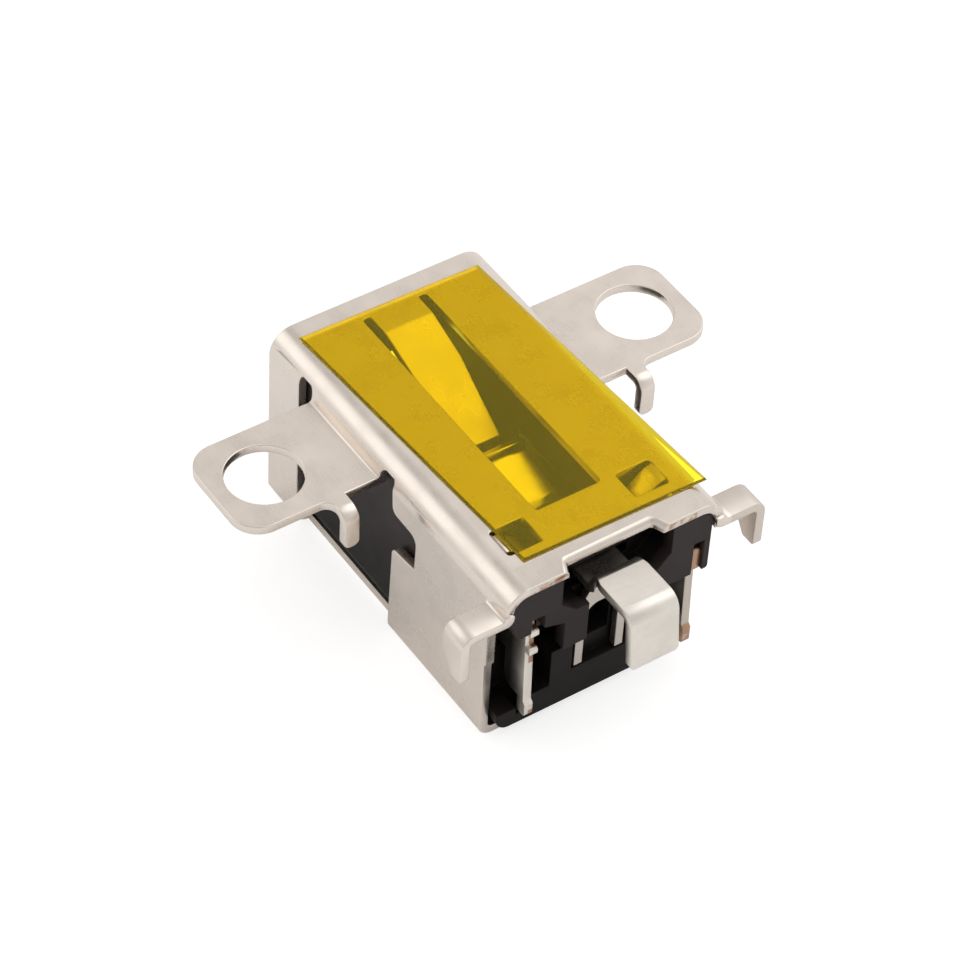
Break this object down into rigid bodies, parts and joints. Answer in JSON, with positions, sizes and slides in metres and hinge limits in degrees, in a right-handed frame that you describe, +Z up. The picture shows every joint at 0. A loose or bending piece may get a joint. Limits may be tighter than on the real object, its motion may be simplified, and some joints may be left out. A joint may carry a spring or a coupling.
{
  "type": "dc barrel jack",
  "caption": "Low board-mount DC power jack in a folded metal shield with two screw ears, a round plug socket at one end and a contact tail at the other.",
  "frame": {"origin": "middle of the whole jack's length and width, on its flat underside", "axes": "+X across the ears, +Y out of the plug socket, +Z up through the filmed top"},
  "size_m": [0.016, 0.0142, 0.0066],
  "materials": {
    "plated_steel": "satin",
    "black_plastic": "fine matt",
    "plated_pin": "nickel plated, polished",
    "contact_strip": "tin plated, bare at the cut edges",
    "amber_film": "clear amber film"
  },
  "bodies": {
    "root": {"shield_shell": "plated_steel", "socket_housing": "black_plastic", "center_pin": "plated_pin", "pin_terminal": "contact_strip", "sleeve_contact": "contact_strip", "left_side_contact": "contact_strip", "right_side_contact": "contact_strip", "insulating_film": "amber_film"}
  },
  "joints": []
}
